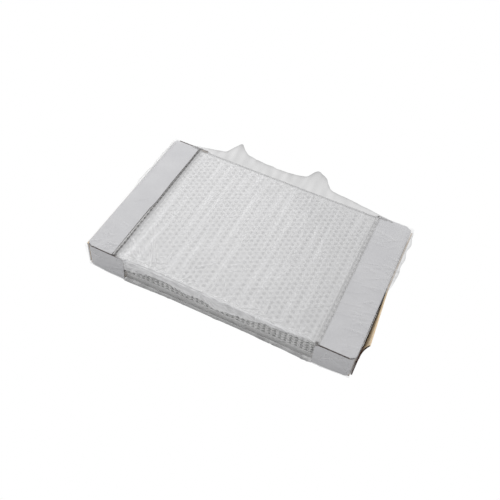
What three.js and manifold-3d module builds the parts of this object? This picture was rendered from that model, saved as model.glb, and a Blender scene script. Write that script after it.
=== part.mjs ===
// A factory pack of plug trays: six thin plastic trays nested into each other, a folded
// corrugated-board end cap on each short end, and one clear film wrap over the whole pack.
// Millimetres, +Z up. X runs along the pack, the front is -Y, and the origin is the middle
// of the film's underside, on the surface that the pack lies on.
import * as THREE from 'three';
import { mergeVertices } from 'three/addons/utils/BufferGeometryUtils.js';
import Module from 'manifold-3d';

const wasm = await Module();
wasm.setup();

// Driving dimensions
const PACK_LENGTH = 612; // outside the two end walls of the caps
const PACK_WIDTH = 392; // outside the film
const PACK_HEIGHT = 69; // outside the film, flat part
const GAP = 0.3; // between pieces that touch
const FILM = 0.5; // film wall, thicker than real film so that it is a solid
const BOARD = 3; // corrugated board

const TRAY_COUNT = 6;
const TRAY_LENGTH = 598;
const TRAY_WIDTH = 383;
const TRAY_CORNER = 10;
const TRAY_SHEET = 0.8; // formed sheet
const TRAY_RIM = 5.2; // depth of the turned-down rim
const STACK_PITCH = 8.6; // from one deck to the next in the nest
const CUP_INSET = 7; // from the rim to the outermost cups

const LEFT_FLAP_DEPTH = 66; // top flap, from the end wall inwards
const LEFT_WALL_DEPTH = 88; // side walls and bottom panel
const RIGHT_FLAP_DEPTH = 77;
const RIGHT_WALL_DEPTH = 81;
const END_FLAP_HEIGHT = 60;
const END_FLAP_MARGIN = 6; // from the corners of the cap
const RIGHT_END_FLAP_FRONT = 50; // the right end flap stops this short of the front corner
const CORNER_TAB = 34; // glued tab from the right cap's front wall, beside that flap's end
const CORNER_TAB_MARGIN = 5; // from the corner and from the top of the wall
const RIGHT_END_FLAP_LEAN = 8; // degrees that it stands ajar

const FIN_HEIGHT = 22; // the seam of the film, standing up along the back edge
const FIN_PEAK = 48;
const FIN_PEAK_HALF = 34; // half the width of a peak's foot
const FIN_PEAKS_X = [-142, 62];
const FIN_LEAN = 45; // degrees back from upright
const SKIRT_TOP = 66; // second layer of film over the front
const SKIRT_DROP = 28;
const SKIRT_SCALLOP = 5;

// Sizes that follow from them
const END_X = PACK_LENGTH / 2;
const FILM_IN_Y = PACK_WIDTH / 2 - FILM;
const CAP_Y = FILM_IN_Y - GAP;
const CAP_BOTTOM = FILM + GAP;
const CAP_TOP = PACK_HEIGHT - FILM - GAP;
const FLAP_UNDER = CAP_TOP - BOARD;
const WALL_TOP = FLAP_UNDER - GAP;
const TOP_DECK = WALL_TOP;
const CUP_BOTTOM = CAP_BOTTOM + BOARD + GAP;
const FILM_END_X = END_X + BOARD;

const PLASTIC = { color: 0xe9e9e8, roughness: 0.45, metalness: 0 };
const LINER = { color: 0xd6d6d8, roughness: 0.85, metalness: 0 };
const CLEAR = { color: 0xf4f5f8, roughness: 0.2, metalness: 0, transparent: true, opacity: 0.35 };

const group = new THREE.Group();

function addMesh(name, geometry, finish) {
  const mesh = new THREE.Mesh(geometry, new THREE.MeshStandardMaterial(finish));
  mesh.name = name;
  group.add(mesh);
  return mesh;
}

// A box given by its lowest and highest corner.
function boxBetween(low, high) {
  const size = high.map((value, i) => value - low[i]);
  const geometry = new THREE.BoxGeometry(...size);
  geometry.translate(...low.map((value, i) => value + size[i] / 2));
  return geometry;
}

function toSolid(geometry) {
  const bare = geometry.clone();
  bare.deleteAttribute('normal');
  bare.deleteAttribute('uv');
  const merged = mergeVertices(bare, 1e-4);
  const vertProperties = new Float32Array(merged.attributes.position.array);
  const triVerts = new Uint32Array(merged.index.array);
  return new wasm.Manifold(new wasm.Mesh({ numProp: 3, vertProperties, triVerts }));
}

function toGeometry(solid) {
  const { vertProperties, triVerts } = solid.getMesh();
  const geometry = new THREE.BufferGeometry();
  geometry.setAttribute('position', new THREE.BufferAttribute(vertProperties, 3));
  geometry.setIndex(new THREE.BufferAttribute(triVerts, 1));
  geometry.computeVertexNormals();
  return geometry;
}

function joined(geometries) {
  const solids = geometries.map(toSolid);
  return toGeometry(solids.reduce((whole, solid) => whole.add(solid)));
}

// A rounded rectangle about the origin, as a shape or as a hole in one.
function roundedRectangle(length, width, radius, Kind = THREE.Shape) {
  const x = length / 2 - radius;
  const y = width / 2 - radius;
  const outline = new Kind();
  outline.moveTo(-x, -y - radius);
  outline.absarc(x, -y, radius, -Math.PI / 2, 0);
  outline.absarc(x, y, radius, 0, Math.PI / 2);
  outline.absarc(-x, y, radius, Math.PI / 2, Math.PI);
  outline.absarc(-x, -y, radius, Math.PI, Math.PI * 1.5);
  outline.closePath();
  return outline;
}

function plate(outline, bottom, height) {
  const geometry = new THREE.ExtrudeGeometry(outline, {
    depth: height, bevelEnabled: false, curveSegments: 4,
  });
  geometry.translate(0, 0, bottom);
  return geometry;
}

// A thin wall along a rounded rectangle, from bottom up to top.
function ringWall(length, width, radius, bottom, top) {
  const outline = roundedRectangle(length, width, radius);
  const inside = roundedRectangle(
    length - 2 * TRAY_SHEET, width - 2 * TRAY_SHEET, radius - TRAY_SHEET, THREE.Path);
  outline.holes.push(inside);
  return plate(outline, bottom, top - bottom);
}

// One tray: the deck with its turned-down rim. Its cups sit inside those of the tray below,
// so only the bottom tray of the nest shows its cups, as a wall around the outermost ones.
function tray(number) {
  const top = TOP_DECK - (TRAY_COUNT - number) * STACK_PITCH;
  const under = top - TRAY_SHEET;
  const overlap = TRAY_SHEET / 2;
  const pieces = [
    plate(roundedRectangle(TRAY_LENGTH, TRAY_WIDTH, TRAY_CORNER), under, TRAY_SHEET),
    ringWall(TRAY_LENGTH, TRAY_WIDTH, TRAY_CORNER, top - TRAY_RIM, top - overlap),
  ];
  if (number === 1) {
    const length = TRAY_LENGTH - 2 * CUP_INSET;
    const width = TRAY_WIDTH - 2 * CUP_INSET;
    pieces.push(ringWall(length, width, TRAY_CORNER - CUP_INSET / 2, CUP_BOTTOM, top - overlap));
  }
  addMesh(`tray_${number}`, joined(pieces), PLASTIC);
}

// The fixed panels of a cap, for the end at +X: bottom, end wall and two side walls. A tab
// lies on the outside of the end wall where no end flap covers it.
function capShell(name, side, wallDepth, hasTab) {
  const inner = END_X - wallDepth;
  const panels = [
    [[inner, -CAP_Y, CAP_BOTTOM], [END_X, CAP_Y, CAP_BOTTOM + BOARD]],
    [[END_X - BOARD, -CAP_Y, CAP_BOTTOM], [END_X, CAP_Y, WALL_TOP]],
    [[inner, -CAP_Y, CAP_BOTTOM], [END_X, -CAP_Y + BOARD, WALL_TOP]],
    [[inner, CAP_Y - BOARD, CAP_BOTTOM], [END_X, CAP_Y, WALL_TOP]],
  ];
  if (hasTab) {
    const front = -CAP_Y + CORNER_TAB_MARGIN;
    panels.push([
      [END_X - BOARD, front, CAP_BOTTOM + CORNER_TAB_MARGIN],
      [END_X + BOARD, front + CORNER_TAB, WALL_TOP - CORNER_TAB_MARGIN],
    ]);
  }
  const mesh = addMesh(name, joined(panels.map(([low, high]) => boxBetween(low, high))), LINER);
  if (side < 0) {
    mesh.rotation.z = Math.PI;
  }
}

// The top flap lies on the cap's walls and is creased to the end wall along its outer edge.
function topFlap(name, side, depth) {
  const outer = side * END_X;
  const inner = side * (END_X - depth);
  const low = [Math.min(outer, inner), -CAP_Y, FLAP_UNDER];
  const high = [Math.max(outer, inner), CAP_Y, CAP_TOP];
  addMesh(name, boxBetween(low, high), LINER);
}

// The outer end flap is creased to the bottom panel and folds up over the end wall. The mesh
// is drawn about its crease, and lean turns it outwards.
function endFlap(name, side, front, lean) {
  const low = [Math.min(-side * BOARD, 0), front, 0];
  const high = [Math.max(-side * BOARD, 0), CAP_Y - END_FLAP_MARGIN, END_FLAP_HEIGHT];
  const mesh = addMesh(name, boxBetween(low, high), LINER);
  mesh.position.set(side * (END_X + GAP + BOARD), 0, CAP_BOTTOM + GAP);
  mesh.rotation.y = side * THREE.MathUtils.degToRad(lean);
}

// The film's tube, open at both ends of the pack.
function filmSleeve() {
  const height = PACK_HEIGHT;
  const outline = roundedRectangle(PACK_WIDTH, height, GAP);
  outline.holes.push(roundedRectangle(PACK_WIDTH - 2 * FILM, height - 2 * FILM, GAP / 4, THREE.Path));
  const geometry = new THREE.ExtrudeGeometry(outline, {
    depth: 2 * FILM_END_X, bevelEnabled: false, curveSegments: 1,
  });
  // The extrusion's own x becomes the pack's y, its y becomes z, and its z becomes x.
  const axes = new THREE.Matrix4().makeBasis(
    new THREE.Vector3(0, 1, 0), new THREE.Vector3(0, 0, 1), new THREE.Vector3(1, 0, 0));
  geometry.applyMatrix4(axes);
  geometry.translate(-FILM_END_X, 0, height / 2);
  return geometry;
}

// The seam fin is drawn upright in the XZ plane, with a pulled-up peak at two places, and
// then leans back from the top edge at the back.
function filmFin() {
  const half = END_X - LEFT_FLAP_DEPTH / 2;
  const outline = new THREE.Shape();
  outline.moveTo(-half, -FILM);
  outline.lineTo(half, -FILM);
  outline.lineTo(half - FIN_HEIGHT, FIN_HEIGHT / 2);
  for (const peak of [...FIN_PEAKS_X].reverse()) {
    outline.lineTo(peak + FIN_PEAK_HALF, FIN_HEIGHT);
    outline.lineTo(peak, FIN_PEAK);
    outline.lineTo(peak - FIN_PEAK_HALF, FIN_HEIGHT);
  }
  outline.lineTo(-half + FIN_HEIGHT, FIN_HEIGHT / 2);
  outline.closePath();
  const geometry = new THREE.ExtrudeGeometry(outline, { depth: FILM, bevelEnabled: false });
  geometry.rotateX(Math.PI / 2);
  geometry.rotateX(-THREE.MathUtils.degToRad(FIN_LEAN));
  geometry.translate(0, PACK_WIDTH / 2 - FILM / 2, PACK_HEIGHT - FILM / 2);
  return geometry;
}

// The second layer of film over the front, with a wavy lower edge.
function filmSkirt() {
  const left = -END_X + LEFT_WALL_DEPTH;
  const right = END_X - RIGHT_WALL_DEPTH;
  const waves = 5;
  const wave = (right - left) / waves;
  const outline = new THREE.Shape();
  outline.moveTo(left, SKIRT_TOP);
  outline.lineTo(left, SKIRT_TOP - SKIRT_DROP);
  for (let i = 0; i < waves; i += 1) {
    const start = left + i * wave;
    const low = SKIRT_TOP - SKIRT_DROP;
    outline.quadraticCurveTo(start + wave / 2, low - 2 * SKIRT_SCALLOP, start + wave, low);
  }
  outline.lineTo(right, SKIRT_TOP);
  outline.closePath();
  const geometry = new THREE.ExtrudeGeometry(outline, {
    depth: FILM, bevelEnabled: false, curveSegments: 4,
  });
  geometry.rotateX(Math.PI / 2);
  geometry.translate(0, -PACK_WIDTH / 2 + FILM / 2, 0);
  return geometry;
}

for (let number = 1; number <= TRAY_COUNT; number += 1) {
  tray(number);
}
capShell('left_cap_shell', -1, LEFT_WALL_DEPTH, false);
capShell('right_cap_shell', 1, RIGHT_WALL_DEPTH, true);
topFlap('left_cap_top_flap', -1, LEFT_FLAP_DEPTH);
topFlap('right_cap_top_flap', 1, RIGHT_FLAP_DEPTH);
endFlap('left_cap_end_flap', -1, -CAP_Y + END_FLAP_MARGIN, 0);
endFlap('right_cap_end_flap', 1, -CAP_Y + RIGHT_END_FLAP_FRONT, RIGHT_END_FLAP_LEAN);
addMesh('film_wrap', joined([filmSleeve(), filmFin(), filmSkirt()]), CLEAR);

export default group;
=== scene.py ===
# %% [markdown]
# # A film-wrapped pack of plug trays
# Six thin white plug trays sit nested in each other. A folded cap of white-lined corrugated
# board covers each short end, and a loose clear film goes over everything. This lesson loads
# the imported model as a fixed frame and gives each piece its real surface: the trays' cells are
# repeated with Geometry Nodes, the board and the film are folded sheets made from formulas.

# %% Load the frame
import math
import random

import bmesh
import bpy
import numpy as np
from mathutils import Matrix, Vector


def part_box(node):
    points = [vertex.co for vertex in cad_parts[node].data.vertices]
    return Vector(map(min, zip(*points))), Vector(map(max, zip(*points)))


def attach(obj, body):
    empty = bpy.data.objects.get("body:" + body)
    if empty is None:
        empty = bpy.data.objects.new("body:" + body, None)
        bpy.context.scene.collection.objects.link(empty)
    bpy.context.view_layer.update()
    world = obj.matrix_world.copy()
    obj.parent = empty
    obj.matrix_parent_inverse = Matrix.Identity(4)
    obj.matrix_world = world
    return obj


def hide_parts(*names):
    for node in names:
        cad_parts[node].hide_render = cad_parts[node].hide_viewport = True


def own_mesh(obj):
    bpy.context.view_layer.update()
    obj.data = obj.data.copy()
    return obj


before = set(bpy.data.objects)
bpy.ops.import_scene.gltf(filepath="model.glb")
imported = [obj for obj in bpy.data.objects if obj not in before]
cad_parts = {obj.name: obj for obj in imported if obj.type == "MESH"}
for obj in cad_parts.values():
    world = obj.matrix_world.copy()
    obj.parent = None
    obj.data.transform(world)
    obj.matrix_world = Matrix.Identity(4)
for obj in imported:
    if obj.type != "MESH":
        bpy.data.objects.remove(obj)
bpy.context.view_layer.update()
scene = bpy.context.scene
MM = 0.001

# %% [markdown]
# The sizes come from the frame, so a piece made here lies where its solid lies. Only what the
# solids don't hold, such as the cells' pitch, is a number of this script's own.

# %% Sizes from the frame
film_low, film_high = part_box("film_wrap")
shell_box = {side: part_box(f"{side}_cap_shell") for side in ("left", "right")}
top_flap_box = {side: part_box(f"{side}_cap_top_flap") for side in ("left", "right")}
end_flap_box = {side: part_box(f"{side}_cap_end_flap") for side in ("left", "right")}
tray_names = sorted(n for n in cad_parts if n.startswith("tray_"))
tray_box = {name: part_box(name) for name in tray_names}
SIDES = {"left": -1, "right": 1}
HALF_LENGTH = shell_box["right"][1][0]
CAP_HALF_WIDTH = shell_box["right"][1][1]
CAP_TOP = top_flap_box["right"][1][2]
CAP_BOTTOM = shell_box["right"][0][2]
FLAP_UNDER = top_flap_box["right"][0][2]
BOARD = CAP_TOP - FLAP_UNDER
FILM_HALF_WIDTH = -film_low[1]
TOP_DECK = tray_box[tray_names[-1]][1][2]
FILM_LIFT = 0.8 * MM
PACK_TOP = CAP_TOP + FILM_LIFT
print(f"pack {2 * HALF_LENGTH:.3f} x {2 * FILM_HALF_WIDTH:.3f} m, top deck at {TOP_DECK:.4f} m")

# %% [markdown]
# The camera stands in front and to the right, looking steeply down with a slight roll. Its
# place is given in pack lengths, so it keeps the same view of a pack of any size.

# %% Camera
PACK_LENGTH = 2 * HALF_LENGTH
CAMERA_PLACE = Vector((0.5493, -1.4878, 1.9194)) * PACK_LENGTH
CAMERA_AIM = Vector((-0.2268, 0.6012, -0.7662)).normalized()
CAMERA_ROLL = math.radians(6.27)
CAMERA_LENS = 48.2

camera_data = bpy.data.cameras.new("camera")
camera_data.lens = CAMERA_LENS
camera_data.sensor_width = 36.0
camera = bpy.data.objects.new("camera", camera_data)
scene.collection.objects.link(camera)
level_right = CAMERA_AIM.cross(Vector((0, 0, 1))).normalized()
level_up = level_right.cross(CAMERA_AIM)
right = level_right * math.cos(CAMERA_ROLL) + level_up * math.sin(CAMERA_ROLL)
up = right.cross(CAMERA_AIM)
turn = Matrix((right, up, -CAMERA_AIM)).transposed()
camera.matrix_world = Matrix.Translation(CAMERA_PLACE) @ turn.to_4x4()
scene.camera = camera
print("camera at", tuple(round(v, 3) for v in CAMERA_PLACE))

# %% [markdown]
# ## Shader parts, light and materials
# Two effects are shared: the cloudy tone of paper and plastic, and fine fibres that run one
# way. Each is a node group that gives masks, and each material mixes its own colours with them.

# %% Node helpers


class Tree:
    """Adds nodes to a node tree and links them, so that a material reads as a few lines."""

    def __init__(self, tree):
        self.tree = tree

    def add(self, kind, settings=None, **inputs):
        node = self.tree.nodes.new(kind)
        for key, value in (settings or {}).items():
            setattr(node, key, value)
        for key, value in inputs.items():
            self.feed(node.inputs[key.replace("_", " ")], value)
        return node

    def feed(self, socket, value):
        if isinstance(value, bpy.types.Node):
            value = value.outputs[0]
        if isinstance(value, bpy.types.NodeSocket):
            self.tree.links.new(value, socket)
        elif value is not None:
            socket.default_value = value

    def math(self, operation, first, second=None, third=None):
        node = self.tree.nodes.new("ShaderNodeMath")
        node.operation = operation
        for socket, value in zip(node.inputs, (first, second, third)):
            self.feed(socket, value)
        return node.outputs[0]

    def ramp(self, value, low, high, to_low=0.0, to_high=1.0):
        node = self.add("ShaderNodeMapRange", Value=value)
        limits = {"From Min": low, "From Max": high, "To Min": to_low, "To Max": to_high}
        for key, number in limits.items():
            node.inputs[key].default_value = number
        return node.outputs["Result"]

    def mix(self, factor, first, second):
        node = self.add("ShaderNodeMix", {"data_type": "RGBA"})
        self.feed(node.inputs[0], factor)
        for socket, value in zip((node.inputs[6], node.inputs[7]), (first, second)):
            self.feed(socket, value)
        return node.outputs[2]


def new_group(name, inputs, outputs):
    """An empty shader group with float and vector inputs and float outputs."""
    group = bpy.data.node_groups.new(name, "ShaderNodeTree")
    for socket_name, default in inputs:
        kind = "NodeSocketVector" if default is None else "NodeSocketFloat"
        socket = group.interface.new_socket(socket_name, in_out="INPUT", socket_type=kind)
        if default is not None:
            socket.default_value = default
    for socket_name in outputs:
        group.interface.new_socket(socket_name, in_out="OUTPUT", socket_type="NodeSocketFloat")
    tree = Tree(group)
    return group, tree, tree.add("NodeGroupInput").outputs, tree.add("NodeGroupOutput").inputs


def cloud_group():
    group, tree, given, result = new_group(
        "cloudy_tone", [("Vector", None), ("Size", 0.05), ("Fine Size", 0.002)], ["Broad", "Fine"])
    for size, mask, detail in (("Size", "Broad", 4.0), ("Fine Size", "Fine", 2.0)):
        scale = tree.math("DIVIDE", 1.0, given[size])
        noise = tree.add("ShaderNodeTexNoise", Vector=given["Vector"], Scale=scale, Detail=detail)
        tree.feed(result[mask], tree.ramp(noise, 0.3, 0.7))
    return group


def fibre_group():
    group, tree, given, result = new_group(
        "paper_fibres", [("Vector", None), ("Stretch", 0.15), ("Size", 0.0012)], ["Fibres"])
    scale = tree.add("ShaderNodeCombineXYZ", X=1.0, Y=given["Stretch"], Z=1.0)
    stretched = tree.add("ShaderNodeMapping", Vector=given["Vector"], Scale=scale)
    noise = tree.add("ShaderNodeTexNoise", Vector=stretched, Detail=3.0,
                     Scale=tree.math("DIVIDE", 1.0, given["Size"]))
    tree.feed(result["Fibres"], tree.ramp(noise, 0.35, 0.65))
    return group


CLOUDS = cloud_group()
FIBRES = fibre_group()


def placed_group(tree, group, **inputs):
    node = tree.tree.nodes.new("ShaderNodeGroup")
    node.node_tree = group
    for key, value in inputs.items():
        tree.feed(node.inputs[key.replace("_", " ")], value)
    return node.outputs


def new_material(name):
    material = bpy.data.materials.new(name)
    material.use_nodes = True
    tree = Tree(material.node_tree)
    shader = material.node_tree.nodes["Principled BSDF"]
    where = tree.add("ShaderNodeTexCoord").outputs["Object"]
    return material, tree, shader, where


def add_bump(tree, shader, height, strength, distance):
    bump = tree.add("ShaderNodeBump", Height=height, Strength=strength, Distance=distance)
    tree.feed(shader.inputs["Normal"], bump)


print("shader groups:", [g.name for g in bpy.data.node_groups])

# %% [markdown]
# A product shot on white: a large soft key stands at the back left, a long narrow strip low at
# the back makes the film glint, and a bright world keeps the shadows faint. The camera sees the
# world and the floor as pure white, though they light the pack less than that.

# %% Light and floor
SKY_LIGHT = 0.66
SKY_SEEN = 1.0
scene.view_settings.view_transform = "Standard"
world = bpy.data.worlds.new("studio")
scene.world = world
world.use_nodes = True
sky = world.node_tree.nodes["Background"]
sky.inputs["Color"].default_value = (1.0, 1.0, 1.0, 1.0)
world_tree = Tree(world.node_tree)
seen = world_tree.add("ShaderNodeLightPath").outputs["Is Camera Ray"]
world_tree.feed(sky.inputs["Strength"], world_tree.ramp(seen, 0, 1, SKY_LIGHT, SKY_SEEN))


def area_light(name, place, target, size, power):
    data = bpy.data.lights.new(name, "AREA")
    data.shape = "RECTANGLE"
    data.size, data.size_y = size
    data.energy = power
    light = bpy.data.objects.new(name, data)
    aim = Vector(target) - Vector(place)
    facing = aim.to_track_quat("-Z", "Y").to_matrix().to_4x4()
    light.matrix_world = Matrix.Translation(place) @ facing
    scene.collection.objects.link(light)


area_light("key", place=(-0.9, 1.0, 1.6), target=(0, 0, 0), size=(1.6, 1.1), power=16)
area_light("glint", place=(0.4, 1.9, 1.1), target=(0, 0, 0.03), size=(0.9, 0.15), power=2.5)

FLOOR_HALF = 6.0
FLOOR_TONE = 0.80
floor_mesh = bpy.data.meshes.new("floor")
floor_mesh.from_pydata(
    [(-FLOOR_HALF, -FLOOR_HALF, 0), (FLOOR_HALF, -FLOOR_HALF, 0),
     (FLOOR_HALF, FLOOR_HALF, 0), (-FLOOR_HALF, FLOOR_HALF, 0)], [], [(0, 1, 2, 3)])
floor = bpy.data.objects.new("floor", floor_mesh)
scene.collection.objects.link(floor)
floor_material, floor_tree, floor_shader, _ = new_material("pale_floor")
floor_shader.inputs["Specular IOR Level"].default_value = 0.0
floor_shader.inputs["Roughness"].default_value = 0.9
floor_shader.inputs["Emission Color"].default_value = (1, 1, 1, 1)
seen = floor_tree.add("ShaderNodeLightPath").outputs["Is Camera Ray"]
paper = floor_tree.mix(seen, (FLOOR_TONE, FLOOR_TONE, FLOOR_TONE, 1), (0, 0, 0, 1))
floor_tree.feed(floor_shader.inputs["Base Color"], paper)
floor_tree.feed(floor_shader.inputs["Emission Strength"], seen)
floor_mesh.materials.append(floor_material)

# %% [markdown]
# The tray is thin formed polystyrene: white, slightly see-through, with a soft sheen and a
# faint cloudiness where the sheet was stretched.

# %% Tray plastic


def tray_plastic():
    material, tree, shader, where = new_material("tray_plastic")
    clouds = placed_group(tree, CLOUDS, Vector=where, Size=0.03, Fine_Size=0.0015)
    colour = tree.mix(clouds["Broad"], (0.84, 0.84, 0.835, 1), (0.89, 0.89, 0.885, 1))
    tree.feed(shader.inputs["Base Color"], colour)
    tree.feed(shader.inputs["Roughness"], tree.ramp(clouds["Fine"], 0, 1, 0.38, 0.5))
    shader.inputs["Subsurface Weight"].default_value = 0.5
    shader.inputs["Subsurface Radius"].default_value = (0.006, 0.006, 0.006)
    add_bump(tree, shader, clouds["Fine"], 0.15, 0.0003)
    return material


TRAY_PLASTIC = tray_plastic()

# %% [markdown]
# White-lined board has three surfaces: the smooth white liner outside, brown kraft inside and
# the raw cut edges, dark brown: the board's core with painted shade of the hollow flutes between
# the two liners.

# %% Board materials


def liner(name, sizes, tones, fleck, share, rough, bump):
    """Board paper: a cloudy tone flecked with fibres. sizes: clouds, fine, stretch, fibres."""
    material, tree, shader, where = new_material(name)
    clouds = placed_group(tree, CLOUDS, Vector=where, Size=sizes[0], Fine_Size=sizes[1])
    fibres = placed_group(tree, FIBRES, Vector=where, Stretch=sizes[2], Size=sizes[3])["Fibres"]
    toned = tree.mix(clouds["Broad"], *tones)
    colour = tree.mix(tree.math("MULTIPLY", fibres, share), toned, fleck)
    tree.feed(shader.inputs["Base Color"], colour)
    low, high = rough
    roughness = low if low == high else tree.ramp(clouds["Fine"], 0, 1, low, high)
    tree.feed(shader.inputs["Roughness"], roughness)
    add_bump(tree, shader, fibres, *bump)
    return material


def cut_edge():
    material, tree, shader, where = new_material("cut_board_edge")
    clouds = placed_group(tree, CLOUDS, Vector=where, Size=0.02, Fine_Size=0.0012)
    # The cut edge's dark brown is partly painted shade of the hollow flutes between the liners.
    colour = tree.mix(clouds["Fine"], (0.022, 0.009, 0.006, 1), (0.11, 0.05, 0.03, 1))
    tree.feed(shader.inputs["Base Color"], colour)
    shader.inputs["Roughness"].default_value = 0.95
    add_bump(tree, shader, clouds["Fine"], 0.5, 0.0005)
    return material


WHITE_LINER = liner(
    "white_liner", (0.06, 0.003, 0.2, 0.0012), ((0.60, 0.60, 0.62, 1), (0.66, 0.66, 0.675, 1)),
    (0.56, 0.555, 0.56, 1), 0.35, (0.62, 0.8), (0.2, 0.0002))
KRAFT = liner(
    "kraft_liner", (0.04, 0.002, 0.12, 0.001), ((0.90, 0.74, 0.52, 1), (0.96, 0.82, 0.61, 1)),
    (0.80, 0.62, 0.40, 1), 1.0, (0.85, 0.85), (0.3, 0.0003))
CUT_EDGE = cut_edge()

# %% [markdown]
# The film is clear but not invisible: it is a little hazy, whiter where it is creased, and it
# glints. Each film mesh carries two vertex attributes. Its haze becomes alpha, so that a crease
# of the shape is also where the film turns white, and its shade is painted shade and shadow.

# %% Film materials


def clear_film():
    material, tree, shader, where = new_material("clear_film")
    haze, shade = (tree.add("ShaderNodeAttribute", {"attribute_name": label}).outputs["Fac"]
                   for label in ("haze", "shade"))
    clouds = placed_group(tree, CLOUDS, Vector=where, Size=0.045, Fine_Size=0.006)
    # The shade attribute mixes the film towards near-black: painted shade and painted shadow.
    colour = tree.mix(shade, (0.90, 0.90, 0.91, 1), (0.05, 0.045, 0.045, 1))
    tree.feed(shader.inputs["Base Color"], colour)
    shader.inputs["Roughness"].default_value = 0.24
    shader.inputs["IOR"].default_value = 1.5
    cloudy = tree.math("MULTIPLY", haze, tree.ramp(clouds["Broad"], 0, 1, 0.95, 1.05))
    tree.feed(shader.inputs["Alpha"], tree.math("MINIMUM", cloudy, 0.95))
    add_bump(tree, shader, clouds["Fine"], 0.12, 0.0006)
    return material


CLEAR_FILM = clear_film()
print("materials:", [m.name for m in bpy.data.materials])

# %% [markdown]
# ## The trays
# A plug tray is a lattice of small tapered cups. Every second column is shifted by half a
# pitch, so the cups lie in a honeycomb. One cup with its patch of deck is modelled by hand, and
# a Geometry Nodes tree repeats it, because 1299 cups follow one rule. The patch has a vertex in
# the middle of each side, so that shifted neighbours share their points and merge.

# %% One cell
COLUMNS = 49
ROWS = 27
COLUMN_SPACING = 11.95 * MM
CELL_SPACING = 13.8 * MM
CUP_SIDES = 8
CUP_TOP_RADIUS = 4.4 * MM
CUP_BOTTOM_RADIUS = 2.5 * MM
DRAIN_RADIUS = 1.2 * MM
DRAIN_DROP = 0.3 * MM
CUP_DEPTH = 17.2 * MM
SHEET = 0.6 * MM


def ring(mesh, radius, height):
    turns = [math.tau * i / CUP_SIDES for i in range(CUP_SIDES)]
    return [mesh.verts.new((radius * math.cos(a), radius * math.sin(a), height)) for a in turns]


def bridge(mesh, outer, inner):
    count = len(outer)
    for i in range(count):
        j = (i + 1) % count
        mesh.faces.new((outer[i], outer[j], inner[j], inner[i]))


def deck_patch(mesh, half_x, half_y):
    """The eight points of a patch's outline, from the middle of its +X side."""
    steps = ((1, 0), (1, 1), (0, 1), (-1, 1), (-1, 0), (-1, -1), (0, -1), (1, -1))
    return [mesh.verts.new((half_x * sx, half_y * sy, 0)) for sx, sy in steps]


def cell_object(name, drain):
    mesh = bmesh.new()
    outline = deck_patch(mesh, COLUMN_SPACING / 2, CELL_SPACING / 2)
    mouth = ring(mesh, CUP_TOP_RADIUS, 0)
    bridge(mesh, outline, mouth)
    foot = ring(mesh, CUP_BOTTOM_RADIUS, -CUP_DEPTH)
    bridge(mesh, mouth, foot)
    if drain:
        bridge(mesh, foot, ring(mesh, DRAIN_RADIUS, -CUP_DEPTH - DRAIN_DROP))
    else:
        mesh.faces.new(foot)
    data = bpy.data.meshes.new(name)
    mesh.to_mesh(data)
    mesh.free()
    data.polygons.foreach_set("use_smooth", [False] * len(data.polygons))
    cell = bpy.data.objects.new(name, data)
    scene.collection.objects.link(cell)
    cell.hide_render = True
    cell.hide_viewport = True
    return cell


drained_cell = cell_object("drained_cell", drain=True)
plain_cell = cell_object("plain_cell", drain=False)
print("cell faces:", len(drained_cell.data.polygons), len(plain_cell.data.polygons))

# %% [markdown]
# The border of the tray is the object that carries the modifier: a flat strip from the lattice
# out to the rim, a rounded edge, and a ribbed wall. On the nested trays the wall is cut into
# arches between its ribs, and those openings are the dark dots along the sides of the nest.

# %% Tray border
RIM_CORNER = 9 * MM
RIB_DEPTH = 0.25 * MM
FLANGE = 1.5 * MM
FLANGE_DROP = 1.2 * MM
ARCH_TOP = 3.4 * MM
ARCH_SHARE = 0.5
ARCH_STEEPNESS = 2.2
RIM_STEPS = 8
RIM_SPACING = COLUMN_SPACING / 8


def rounded_outline(half_x, half_y):
    """Points of a tray's outline going round from the +X side, with their outward directions.

    Each entry is (x, y, nx, ny, phase), where phase counts column spacings along a straight side
    and is None in a corner.
    """
    radius = RIM_CORNER
    points = []
    for quarter in range(4):
        angle = math.pi / 2 * quarter
        nx, ny = round(math.cos(angle)), round(math.sin(angle))
        reach = half_x if nx else half_y
        span = (half_y if nx else half_x) - radius
        steps = round(2 * span / RIM_SPACING)
        for k in range(steps + 1):
            along = -span + 2 * span * k / steps
            points.append((nx * reach - ny * along, ny * reach + nx * along,
                           nx, ny, along / COLUMN_SPACING))
        sx, sy = nx - ny, ny + nx
        for k in range(1, RIM_STEPS):
            turn = angle + math.pi / 2 * k / RIM_STEPS
            points.append((sx * (half_x - radius) + radius * math.cos(turn),
                           sy * (half_y - radius) + radius * math.sin(turn),
                           math.cos(turn), math.sin(turn), None))
    return points


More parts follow.
